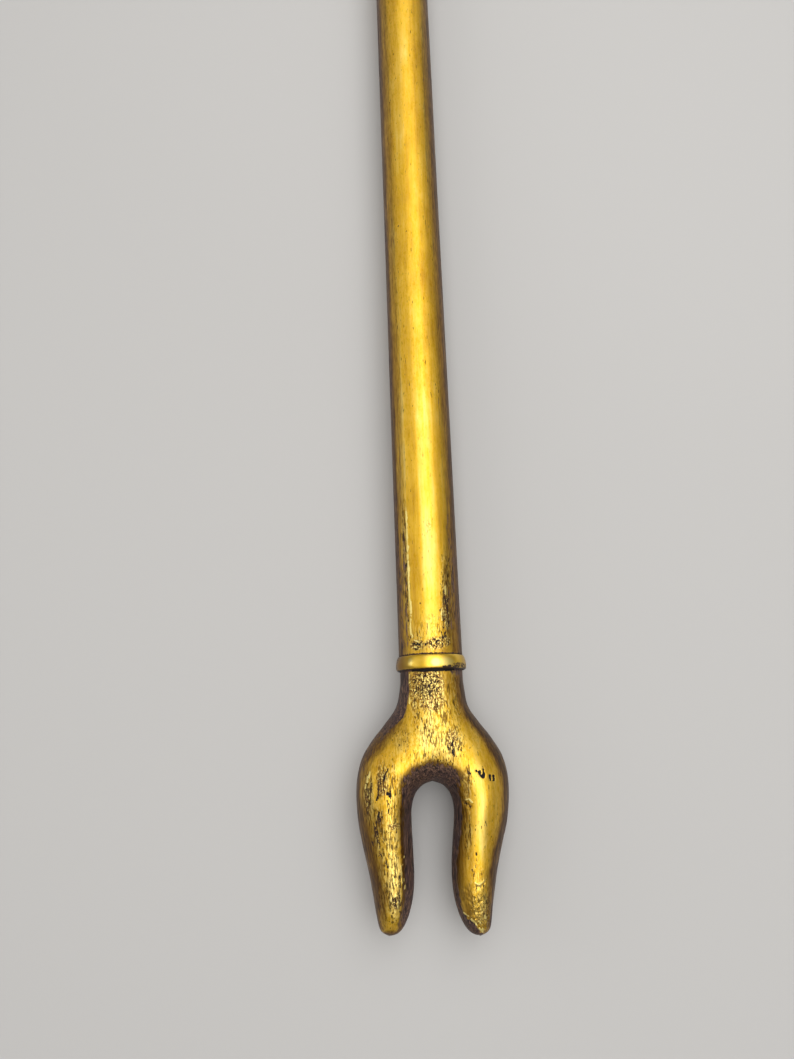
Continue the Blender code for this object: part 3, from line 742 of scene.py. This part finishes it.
def makeFoot(finish):
    outer, inner = smoothLine(foot["outer"], 400), smoothLine(foot["inner"], 400)
    piece = makePiece("gildedFoot", *footSkin(outer, inner), finish, foot["weldWithin"])
    mesh = piece.data
    places, normals = placesOf(mesh), normalsOf(mesh)
    spot, solid, front = measured(places)
    toSide, toGap = toOutline(outer, places), toOutline(inner, places)
    across, along = spot.T
    left = across < -1.6

    # dark faces inside the fork, bare and with painted shade of the gap, with an arris along each prong
    innerWidth = np.where(left, footBorder("leftInside", along), footBorder("rightInside", along))
    innerWidth = innerWidth + (foot["archInside"] - innerWidth) * ramp(49, 43, along)
    innerWidth = innerWidth + waves(solid, foot["insideWaver"])
    feather = 0.30 + 2.0 * ramp(54, 44, along)
    inside = 1 - ramp(innerWidth - feather, innerWidth + feather, toGap)
    insideTarnishAndShade = 0.9 * (1 - ramp(innerWidth - 0.4, innerWidth + 0.5 + 1.3 * feather, toGap))
    besideArris = ramp(2.6, 1.0, innerWidth - toGap) * ramp(50, 58, along) * left
    inside = inside * (1 - 0.74 * besideArris)

    # the worn end of the right prong, dark beyond a slanting edge of leaf
    brokenEdge = footBorder("brokenEdge", across) + waves(solid, foot["edgeWaver"])
    beyond = ramp(0.0, 0.6, along - brokenEdge) * (1 - ramp(15.7, 16.3, across)) * ~left

    # painted shade: a dark flank beside the neck, darkened shoulders and edges
    waver = foot["waver"] * (lumps(solid, (2.5, 6, 2.5), 18) - 0.5)
    behind = footBorder("darkFlank", along) - across + 0.5 * waver
    onLeft = footBorder("leftShadeBorder", along) - across + waver
    onRight = across - footBorder("rightShadeBorder", along) + waver
    soft = 0.25 + 1.2 * ramp(18, 30, along)
    edge = np.where(left, foot["leftEdgeShade"], footBorder("rightEdgeShade", along)) + 0.35 * waver
    facing = normals[:, 0] + 0.10 * (lumps(solid, (9, 30, 9), 11) - 0.5)
    swelling = ramp(12, 20, along) * (1 - ramp(56, 74, along)) * ~left
    patina = most(
        inside,
        beyond,
        (1 - 0.75 * ramp(20, 32, along)) * ramp(-soft, soft, behind),
        # painted shade along the edges of the outline
        0.62 * (1 - ramp(edge * 0.2, edge * 1.7, toSide)),
        1 - ramp(1.3, 2.0, along + 0.5 * waver),  # joint under the band
        zoneField(spot, foot["jointDirt"]) * front,
    )
    tarnish = most(
        insideTarnishAndShade,
        0.85 * ramp(-soft - 0.3, 1.6 * soft, behind),
        fade(onLeft, *foot["leftShade"]),
        fade(onRight, *foot["rightShade"]),
        # painted shade where the surface faces sideways
        paintedSideShade(facing) * (1 - 0.50 * swelling),
        zoneField(spot, foot["tarnish"]),
    )
    patina, tarnish = wearBack(patina, tarnish, front, solid, 22)

    marks = marksOf(foot, spot, front)
    nicks = ramp(0.70, 0.78, lumps(solid, (0.5, 1.2, 0.5), 41))
    marks["scuffs"] = most(marks["scuffs"], zoneField(spot, foot["nicked"]) * front * nicks)
    marks["wear"] = most(marks["wear"], 0.16, 0.60 * marks["scuffs"])
    grooves = strokeField(spot, foot["grooves"], 0.45) * front
    crumble = zoneField(spot, foot["crumbled"]) * front * (1 - beyond)

    relief = waves(solid, foot["relief"])
    relief -= crumble * 0.84 * np.abs(lumps(solid, (1.3, 1.3, 1.3), 4) - 0.5)
    relief -= marks["pits"] * 0.30 * ramp(0.5, 0.8, lumps(solid, (0.8, 0.9, 0.8), 6))
    relief += 0.16 * marks["flakesAndReflection"] - 0.24 * marks["spots"] - 0.07 * marks["scuffs"] - 0.30 * grooves
    hollowed = ramp(47, 54, along) * (1 - ramp(98, 103, along)) * (toGap < innerWidth)
    relief -= foot["insideHollow"] * hollowed * np.sin(math.pi * np.clip(toGap / innerWidth, 0, 1))
    relief = np.where(along < 1.6, np.minimum(relief, -0.05), relief)  # inside the band
    low, high = (np.array(corner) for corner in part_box("forked_foot"))
    toBox = np.where(normals > 0, high - places, places - low) / np.maximum(np.abs(normals), 0.05)
    moved = places + normals * np.minimum(relief * mm, toBox.min(axis=1))[:, None]
    moveTo(mesh, np.clip(moved, low, high))
    setFields(mesh, places, patina=patina, tarnish=tarnish, crumble=crumble, **marks)
    return piece


# Shaft

shaft = {
    "sides": 104,
    "fineUntil": -0.735,  # finest rows up to here
    "seenUntil": -0.430,  # fine rows up to here
    "rowSpacing": (0.00036, 0.00062, 0.0042),
    "bandOverlap": 0.0006,
    # From here on in mm and across as a share of the radius, or along from the band
    "waver": 0.08,
    # painted shade: darker towards the flanks
    "sideShadeTint": (0.95, 0.70, 0.94),  # fades
    "sideShadeDark": (0.58, 0.86, 1),
    "leftBareAndShade": (0.42, 0.62, 0.68),  # near the band only, like the next; painted shade with brown wear
    "rightBareAndShade": (0.44, 0.56, 0.72),
    "nearBand": (1, -95, -40),
    "farUp": (1, -50, -150),
    "footEndBare": (0.80, -0.8, -0.3),
    "headEndBare": (0.95, -0.6, -0.2),
    "paintedReflectionLine": (-8.63, 0.30),  # across and half width of a thin pale line, a painted reflection of the lamp on the left
    "ridge": (-0.605, 0.022),
    "relief": ((0.14, (16, 95, 16), 13, 1), (0.04, (5, 30, 5), 14, 1), (0.03, (0.9, 16, 0.9), 3, 1)),
    # Strokes: half width, then the points they run through, across from the axis and along from the band
    "spots": (
        (0.2, (0.9, -247.4), (1.6, -246.4), (2.2, -246.6)), (0.18, (-7.9, -213.4), (-7.2, -211.6)),
        (0.18, (-4.2, -209.2), (-3.2, -207.6)), (0.2, (-9.7, -171), (-9.4, -169.4)),
        (0.3, (-9.5, -45.2), (-9.6, -43.1)), (0.2, (-3.7, -28.2), (-4, -26.6)),
        (0.26, (4.7, -23.4), (4.5, -22)), (0.26, (5.6, -21.3), (5.7, -20)),
        (0.34, (-7.5, -9.9), (-6.6, -9.4)), (0.42, (-5.6, -9.5), (-4.6, -9.2)),
        (0.26, (-6.3, -7.3), (-5.5, -7.4)), (0.3, (-2.4, -9.6), (-2.6, -8.9)),
        (0.26, (2.4, -10.6), (2.6, -9.8)),
    ),
    "scuffs": (
        (0.34, (-9.4, -33.4), (-9.4, -31)), (0.34, (-9.3, -28.4), (-9.3, -26)),
        (0.34, (-9.4, -22.8), (-9.4, -19.6)), (0.34, (-9.3, -61), (-9.5, -56)),
        (0.31, (-4.7, -14.8), (-4.9, -12.2)), (0.36, (4.7, -24.2), (4.4, -19.6)),
        (0.37, (5.6, -22), (5.7, -19)), (0.31, (4.6, -16.2), (4.5, -13)), (0.37, (6, -18.4), (5.9, -13.8)),
        (0.47, (6.4, -33.6), (6.5, -27)), (0.47, (8.2, -36), (8.2, -30)),
        (0.68, (8.2, -30), (7.9, -26), (7.9, -19)), (0.42, (8, -19.4), (7.7, -16)),
        (0.51, (-9.4, -12.8), (-8.6, -10.8)), (0.51, (-7.8, -10.1), (-5.4, -9.2), (-4, -9.2)),
        (0.42, (-7, -7.4), (-4.8, -7.5)), (0.42, (-2.4, -10.2), (-2.7, -8.2)),
        (0.38, (-3.7, -12.2), (-3.3, -10.8)), (0.38, (-0.2, -11.7), (0.9, -11.9)),
        (0.42, (-0.1, -9.1), (0.9, -9.3)), (0.42, (2.2, -10.9), (2.8, -9.2)),
        (0.38, (3.7, -11.2), (3.3, -10)), (0.36, (3.8, -11.8), (6.5, -12.1)),
        (0.36, (4.2, -8), (5.2, -9.6)), (0.31, (7.2, -10.8), (7.4, -9.2)),
        (0.3, (-8.5, -266.5), (-8.3, -263.5)),
    ),
    "flakesAndReflection": (
        # a painted reflection of the lamp on the left: a pale line with worn specks along the ridge
        (0.36, (-8.4, -70), (-8.4, -46), (-8.6, -34), (-8.3, -27), (-8.3, -20), (-8.7, -17), (-8.4, -14.5)),
        (0.26, (-8.2, -13.4), (-7.2, -11.2), (-5.6, -10.6)), (0.4, (-8.5, -14.8), (-8.3, -13.8)),
        (0.2, (5.1, -24), (5, -19)), (0.22, (6.7, -22), (7, -17.5), (6.8, -14.5)),
        (0.2, (7.3, -34), (7.2, -30)), (0.28, (-7.2, -8.5), (-6.4, -8.2)), (0.3, (1.2, -10.4), (1.5, -8.8)),
        (0.26, (3, -11.6), (3.2, -11)),
    ),
    # Soft zones: across, along, half width, half length, amount
    "wear": (
        (-9.8, -45, 1.3, 34, 0.95), (7.6, -30, 2.6, 20, 0.92), (1, -61, 2.4, 6, 0.3), (0, -13, 9, 9, 0.5),
        (9.8, -30, 2, 26, 0.5),
    ),
    "pits": (
        (-6, -9.2, 3.2, 2.2, 0.94), (1.6, -9.6, 3.8, 2.8, 0.92), (6, -10.4, 2.6, 2.4, 0.74),
        (1.2, -61, 1.6, 3.6, 0.3), (7, -24, 1.6, 10, 0.62),
    ),
    # painted highlights along the lamps' highlight
    "bright": (
        (1, -80, 4, 60, 0.5), (5.4, -10.6, 3.6, 3.6, 0.7),
    ),
    # tarnished zones; those at 11.8 and -10.2 across add painted shade on the flanks
    "tarnish": (
        (8.2, -26, 2.2, 22, 0.66), (11.8, -36, 4.6, 50, 0.6), (-10.2, -50, 1.4, 50, 0.5),
        (0, -8, 13, 3, 0.36),
    ),
}


def shaftRows():
    low = footBandY + staff["bandHeight"] - shaft["bandOverlap"]
    high = headBandY - staff["bandHeight"] + shaft["bandOverlap"]
    stops = (low, shaft["fineUntil"], shaft["seenUntil"], high)
    parts = []
    for start, end, spacing in zip(stops, stops[1:], shaft["rowSpacing"]):
        parts.append(np.linspace(start, end, max(2, round((end - start) / spacing)), endpoint=end == high))
    return np.concatenate(parts)


def crest(value, line):  # 1 on a line given as (place, half width), fading to either side
    place, halfWidth = line
    return np.exp(-((value - place) / halfWidth) ** 2)


def makeShaft(finish):
    rows, sides = shaftRows(), shaft["sides"]
    y, out = roundGrid(rows, sides)
    base = out * staff["shaftRadius"] + np.column_stack([y * 0, y, y * 0 + staff["axisHeight"]])
    spot, solid, front = measured(base)
    across = base[:, 0] / staff["shaftRadius"] + shaft["waver"] * (lumps(solid, (9, 60, 9), 11) - 0.5)
    along = spot[:, 1]
    # 0 at a band's edge and less along the open shaft
    footEdge = along - (staff["footY"] - footBandY - staff["bandHeight"]) / mm
    headEdge = (staff["footY"] - headBandY + staff["bandHeight"]) / mm - along
    farUp, nearBand = fade(along, shaft["farUp"]), fade(along, shaft["nearBand"])

    # tarnished, with painted shade towards the flanks
    tarnish = most(
        paintedSideShade(across) * (1 - 0.40 * farUp * ramp(-0.70, -0.60, across) * (across < 0)),
        zoneField(spot, shaft["tarnish"]) * front,
        fade(np.abs(across), shaft["sideShadeTint"]),
    )
    # dark towards the flanks as painted shade, with brown wear near the band, and at the ends under the
    # bands
    patina = most(
        fade(np.abs(across), shaft["sideShadeDark"]),
        nearBand * fade(-across, shaft["leftBareAndShade"]),
        nearBand * fade(across, shaft["rightBareAndShade"]) * (1 - 0.6 * ramp(-18, -13, along)),
        fade(footEdge, shaft["footEndBare"]),
        fade(headEdge, shaft["headEndBare"]),
    )
    patina, tarnish = wearBack(patina, tarnish, front, solid, 40, 0.8)
    marks = marksOf(shaft, spot, front)
    evenWear = (0.26 - 0.10 * farUp) * lumps(solid, (8, 55, 8), 12) ** 2
    marks["wear"] = most(marks["wear"], evenWear, 0.60 * marks["scuffs"])
    # painted reflection: a thin pale line where the lamp on the left shows
    line = crest(spot[:, 0], shaft["paintedReflectionLine"]) * front
    line = line * ramp(-165, -130, along) * ramp(-46, -60, along)
    # painted highlights, with the far part of the shaft a little paler
    marks["bright"] = most(marks["bright"], 0.6 * line, 0.14 * ramp(-150, -290, along) * front)

    relief = waves(solid, shaft["relief"])
    relief += 0.07 * marks["flakesAndReflection"] - 0.16 * marks["spots"] - 0.05 * marks["scuffs"]
    relief -= 0.14 * marks["pits"] * lumps(solid, (0.8, 0.9, 0.8), 15)
    ridge = crest(across, shaft["ridge"]) * ramp(-150, -120, along) * ramp(-8, -22, along)
    relief += 0.10 * np.maximum(ridge * front, line) - 0.10
    under = ramp(-0.3, 0.1, footEdge) + ramp(-0.3, 0.1, headEdge)
    relief -= under * (staff["shaftRadius"] - staff["neckRadius"]) / mm
    faces = ringFaces(len(rows), sides)
    faces += [list(range(sides))[::-1], list(range((len(rows) - 1) * sides, len(rows) * sides))]
    piece = makePiece("gildedShaft", base + out * relief[:, None] * mm, faces, finish)
    setFields(piece.data, base, patina=patina, tarnish=tarnish, **marks)
    return piece


# Bands

band = {
    "profile": (  # radius, and distance from the edge that faces the carving
        (0.0138, 0.0062), (0.01412, 0.0062), (0.01432, 0.006), (0.0147, 0.0053), (0.01503, 0.0042),
        (0.01526, 0.003), (0.01531, 0.002), (0.01522, 0.0011), (0.01492, 0.0004), (0.0144, 0), (0.0138, 0),
    ),
    "sides": 176,
    # From here on in mm
    "relief": ((0.07, (9, 4, 9), 21, 1), (0.02, (2, 1.5, 2), 22, 1)),
    # painted shade: darker towards both sides
    "sideShadeDark": (0.50, 0.82, 1),  # fades
    "rightShade": (0.46, 0.74, 1),
    "leftShade": (0.88, 0.50, 0.95),
    "lowRim": (0.1, 0.6),  # bare from the edge to here, fading
    "topRim": (0.8, 5.7, 6.2),
    "dirt": ((7.6, 0.4, 4.4, 1.2, 0.70), (11.8, 0.9, 4.6, 2.2, 0.60)),
    # painted highlights: a hot spot, a lighter patch, and on the left a painted reflection of the lamp on
    # the left
    "bright": ((1.5, 2.6, 2.2, 1.9, 0.9), (6, 2.8, 3.4, 1.9, 0.6), (-9.2, 3.2, 1, 1.8, 0.7)),
}


def makeBand(name, edgeY, towardsShaft, finish):
    sharp = np.array(band["profile"])
    outside = smoothLine(sharp[1:-1], 44)
    inside = np.column_stack([np.full(6, sharp[0, 0]), np.linspace(sharp[-1, 1], sharp[0, 1], 6)])
    lipTop = np.linspace(sharp[0], outside[0], 5)[1:-1]
    lipLow = np.linspace(outside[-1], sharp[-1], 5)[1:-1]
    profile = np.vstack([lipTop, outside, lipLow, inside])
    rings, sides = len(profile), band["sides"]
    row, out = roundGrid(np.arange(rings), sides)
    radius, along = profile[row].T
    base = out * radius[:, None]
    base[:, 1] = edgeY + towardsShaft * along
    base[:, 2] += staff["axisHeight"]
    solid = base / mm
    relief = (radius > staff["shaftRadius"]) * waves(solid, band["relief"])
    faces = ringFaces(rings, sides, closed=True)
    piece = makePiece(name, base + out * relief[:, None] * mm, faces, finish)

    spot = np.column_stack([base[:, 0], along]) / mm
    onTop = base[:, 2] > staff["axisHeight"]
    across = base[:, 0] / staff["shaftRadius"]
    sideways = np.abs(out[:, 0]) + 0.16 * (lumps(solid, (3, 3, 3), 24) - 0.5)
    # dark at the rims and the dirt, and towards the sides as painted shade
    patina = most(
        fade(sideways, band["sideShadeDark"]),
        1 - ramp(*band["lowRim"], spot[:, 1]),
        fade(spot[:, 1], band["topRim"]),
        zoneField(spot, band["dirt"]) * onTop,
    )
    # painted shade towards both sides
    tarnish = most(fade(across, band["rightShade"]), fade(-across, band["leftShade"]))
    # painted highlights
    bright = zoneField(spot, band["bright"]) * onTop
    setFields(piece.data, base, patina=patina, tarnish=tarnish, bright=bright)
    return piece


# Crook

crook = {
    "length": 0.292,
    "knopEnd": 0.094,
    "voluteRadius": 0.0655,
    "voluteShrink": 0.116,
    "voluteSweep": math.radians(560),
    "voluteStart": math.radians(190),
    "stemRise": 0.048,
    "stemSwing": 0.062,
    "sections": (  # station, half width, half depth
        (-0.01, 0.0135, 0.0135), (0.004, 0.0136, 0.0135), (0.016, 0.0152, 0.0142), (0.028, 0.019, 0.0154),
        (0.04, 0.0217, 0.0161), (0.052, 0.0213, 0.0159), (0.064, 0.0182, 0.0147), (0.078, 0.0146, 0.0133),
        (0.094, 0.0127, 0.0124), (0.115, 0.0121, 0.012), (0.15, 0.0119, 0.0119), (0.2, 0.0118, 0.0118),
        (0.26, 0.0115, 0.0115), (0.33, 0.0107, 0.0107), (0.4, 0.0094, 0.0094), (0.46, 0.008, 0.008),
        (0.515, 0.0069, 0.0069), (0.55, 0.0065, 0.0065), (0.575, 0.007, 0.007), (0.596, 0.0086, 0.0086),
        (0.616, 0.0093, 0.0093),
    ),
    "rings": 860,
    "sides": 96,
    "budRings": 40,
    "headingStep": 0.0004,
    # From here on in mm
    "waver": 0.16,
    # painted shade: darker towards the sides; darker on the inside of the coil
    "sideShadeDark": (0.62, 0.80, 1),  # fades
    "coilInsideDark": (1, 0.42, 0.66),
    "coiled": (1, 100, 190),
    "relief": ((0.30, (10, 18, 10), 1, 1), (0.12, (4.5, 8, 4.5), 2, 1), (0.05, (0.9, 12, 0.9), 3, 1)),
}


def bezier(a, b, c, d, share):
    share = share[:, None]
    rest = 1 - share
    return a * rest**3 + 3 * b * share * rest**2 + 3 * c * share**2 * rest + d * share**3


def crookLine(centre):
    start = headJointY - staff["headY"] + staff["fitGap"] / 2
    knop = np.array([(0.0, along) for along in np.linspace(start, crook["knopEnd"], 60)])
    turned = np.linspace(0, crook["voluteSweep"], 1800)
    radius = crook["voluteRadius"] * np.exp(-crook["voluteShrink"] * turned)
    angle = crook["voluteStart"] - turned
    volute = np.column_stack([radius * np.cos(angle), radius * np.sin(angle)]) + centre
    heading = volute[1] - volute[0]
    heading /= np.linalg.norm(heading)
    root, end = knop[-1], volute[0]
    rise, swing = np.array((0, crook["stemRise"])), heading * crook["stemSwing"]
    stem = bezier(root, root + rise, end - swing, end, np.linspace(0, 1, 400))
    return np.vstack([knop, stem[1:], volute[1:]])


def crookRings(centre):
    line = crookLine(centre)
    travelled = np.concatenate([[0], np.cumsum(np.linalg.norm(np.diff(line, axis=0), axis=1))])
    start, length = line[0, 1], travelled[-1]
    bud = smoothValue(crook["sections"], start + length)
    body = np.linspace(0, length - bud, crook["rings"])
    turn = np.linspace(0, math.pi / 2, crook["budRings"] + 1)[1:]
    stations = np.concatenate([body, length - bud + bud * np.sin(turn)])
    closing = np.concatenate([np.ones(crook["rings"]), np.cos(turn)])

    def lineAt(step):
        return np.column_stack([np.interp(stations + step, travelled, column) for column in line.T])

    heading = lineAt(crook["headingStep"]) - lineAt(-crook["headingStep"])
    heading /= np.linalg.norm(heading, axis=1)[:, None]
    sideways = np.column_stack([heading[:, 1], -heading[:, 0]])
    widths = smoothValue(crook["sections"], start + stations, 1) * closing
    depths = smoothValue(crook["sections"], start + stations, 2) * closing
    return lineAt(0), sideways, widths, depths, stations


def voluteCentre():
    centre = np.array((0.0, crook["length"] - crook["voluteRadius"]))
    for _ in range(12):
        places, sideways, widths = crookRings(centre)[:3]
        edges = np.vstack([places + sideways * widths[:, None], places - sideways * widths[:, None]])
        centre = centre + (-(edges[:, 0].max() + edges[:, 0].min()) / 2, crook["length"] - edges[:, 1].max())
    return centre


def makeCrook(finish):
    rings = crookRings(voluteCentre())
    tip = rings[0][-1]
    centres, sideways, widths, depths, stations = (values[:-1] for values in rings)
    sides = crook["sides"]
    turn = 2 * math.pi * np.arange(sides) / sides
    reach = widths[:, None] * np.cos(turn)
    x = centres[:, 0, None] + sideways[:, 0, None] * reach
    y = staff["headY"] + centres[:, 1, None] + sideways[:, 1, None] * reach
    z = staff["axisHeight"] + depths[:, None] * np.sin(turn)
    base = np.stack([x, y, z], axis=-1).reshape(-1, 3)
    base = np.vstack([base, (tip[0], staff["headY"] + tip[1], staff["axisHeight"])])
    faces = ringFaces(len(centres), sides)
    last = (len(centres) - 1) * sides
    faces += [[last + j, last + (j + 1) % sides, last + sides] for j in range(sides)]
    faces += [list(range(sides))]
    piece = makePiece("gildedCrook", base, faces, finish)
    mesh = piece.data

    # straightened out: across, along the line, up
    grain = np.stack([reach, np.broadcast_to(stations[:, None], reach.shape), z], axis=-1).reshape(-1, 3)
    grain = np.vstack([grain, (0, stations[-1], staff["axisHeight"])])
    solid = grain / mm
    inward = np.append(np.broadcast_to(np.cos(turn), reach.shape).ravel(), 0.0)
    along = solid[:, 1]
    front = measured(base)[2]
    waver = crook["waver"] * (lumps(solid, (9, 30, 9), 11) - 0.5)
    # dark towards the sides as painted shade, darker on the inside of the coil, and at the joint
    patina = most(
        fade(np.abs(inward), crook["sideShadeDark"]),
        fade(inward + waver, crook["coilInsideDark"]) * fade(along, crook["coiled"]),
        1 - ramp(3.4, 4.3, along),  # joint under the band
    )
    patina, tarnish = wearBack(patina, paintedSideShade(inward + waver * 0.5), front, solid, 22)
    wear = 0.14 + 0.50 * lumps(solid, (7, 26, 7), 12) ** 2
    pits = np.clip(1.6 * lumps(solid, (6, 9, 6), 16) - 1.0, 0, 1) * 0.7
    moved = base + normalsOf(mesh) * waves(solid, crook["relief"])[:, None] * mm
    moveTo(mesh, np.clip(moved, *(np.array(corner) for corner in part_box("crook"))))
    setFields(mesh, grain, patina=patina, tarnish=tarnish, wear=wear, pits=pits)
    return piece


# Camera, lights and floor

camera = {
    "fromFoot": (-0.0157, -0.0253, 0.3503),  # the eye, from the band's lower edge on the staff's axis
    "leanDegrees": 14.135,  # off straight down, towards the crook
    "turnDegrees": -1.937,
    "focalPixels": 795.3,
    "framePixels": (794, 1059),
    "sensorWidth": 36,
    "seesFrom": 0.005,
}


def makeCamera():
    data = bpy.data.cameras.new("photoCamera")
    eye = addObject("photoCamera", data)
    data.sensor_width = camera["sensorWidth"]
    data.lens = camera["sensorWidth"] * camera["focalPixels"] / max(camera["framePixels"])
    data.clip_start = camera["seesFrom"]
    x, y, z = camera["fromFoot"]
    eye.location = (x, staff["footY"] + y, staff["axisHeight"] + z)
    eye.rotation_euler = (math.radians(camera["leanDegrees"]), 0, math.radians(camera["turnDegrees"]))
    scene.camera = eye


lights = {  # place, tilt to the side in degrees, width, length along the staff, power
    "mainSoftbox": ((0.09, -0.72, 0.97), 0, 0.66, 1.3, 5),
    "rightSoftbox": ((0.5, -0.6, 0.97), 0, 0.4, 1.5, 3.1),
    "edgeSoftbox": ((0.96, -0.4, 0.97), 0, 0.52, 1.9, 1.1),
    "farSoftbox": ((0.38, 0.35, 0.97), 0, 0.96, 0.84, 2.5),
    "wideSoftbox": ((0.2, -0.35, 0.97), 0, 1.2, 2.6, 8.4),
    "leftSoftbox": ((-0.77, -0.9, 0.57), -54, 0.4, 1.1, 0.3),
    "farLeftSoftbox": ((-0.77, 0.12, 0.55), -54, 0.5, 0.94, 0.44),
    "leftStrip": ((-0.9, -0.63, 0.31), -72, 0.2, 0.4, 0.25),
}
room = {
    "overhead": (0.46, 0.45, 0.44),
    "horizon": (0.1, 0.095, 0.09),
    "horizonUntil": 0.05,  # share of the way up
    "overheadFrom": 0.75,
    "tiltedSpread": 120,  # degrees
    "floorSize": 8,
    "floorColour": (0.52, 0.511, 0.497),
    "floorRoughness": 0.8,
    "floorGloss": 0.2,
}


def makeLights():
    for name, (place, tilt, width, length, watts) in lights.items():
        data = bpy.data.lights.new(name, "AREA")
        data.shape = "RECTANGLE"
        data.size, data.size_y, data.energy = width, length, watts
        if tilt:  # shaded, to keep its light off the floor beneath it
            data.spread = math.radians(room["tiltedSpread"])
        lamp = addObject(name, data)
        lamp.location = place
        lamp.rotation_euler = (0, math.radians(tilt), 0)


def makeRoom():  # light from all round, brighter overhead
    world = bpy.data.worlds.new("paleRoom")
    scene.world = world
    world.use_nodes = True
    tree = world.node_tree
    place = tree.nodes.new("ShaderNodeTexCoord")
    split = tree.nodes.new("ShaderNodeSeparateXYZ")
    sky = tree.nodes.new("ShaderNodeValToRGB")
    tree.links.new(place.outputs["Generated"], split.inputs[0])
    tree.links.new(split.outputs["Z"], sky.inputs[0])
    sky.color_ramp.elements[0].color = (*room["horizon"], 1)
    sky.color_ramp.elements[0].position = room["horizonUntil"]
    sky.color_ramp.elements[1].color = (*room["overhead"], 1)
    sky.color_ramp.elements[1].position = room["overheadFrom"]
    tree.links.new(sky.outputs[0], tree.nodes["Background"].inputs["Color"])


def makeFloor():
    bpy.ops.mesh.primitive_plane_add(size=room["floorSize"])
    floor = bpy.context.object
    floor.name = "paleFloor"
    n = Nodes("paleFloor")
    n.fill(n.shader, {
        "Base Color": (*room["floorColour"], 1),
        "Roughness": room["floorRoughness"],
        "Specular IOR Level": room["floorGloss"],
    })
    floor.data.materials.append(n.material)


def dress(piece, node):
    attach(piece, "root")
    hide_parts(node)


scene.view_settings.view_transform = "Standard"
makeCamera()
makeLights()
makeRoom()
makeFloor()
print("camera, lights and floor made")

leafFinish, bandFinish = wornGildingAndPaintedLight(), burnishedBandAndPaintedLight()
dress(makeShaft(leafFinish), "shaft")
print("shaft made")
dress(makeBand("footBand", footBandY, 1, bandFinish), "foot_band")
dress(makeBand("headBand", headBandY, -1, bandFinish), "head_band")
print("bands made")
dress(makeFoot(leafFinish), "forked_foot")
print("foot made")
dress(makeCrook(leafFinish), "crook")
print("crook made")
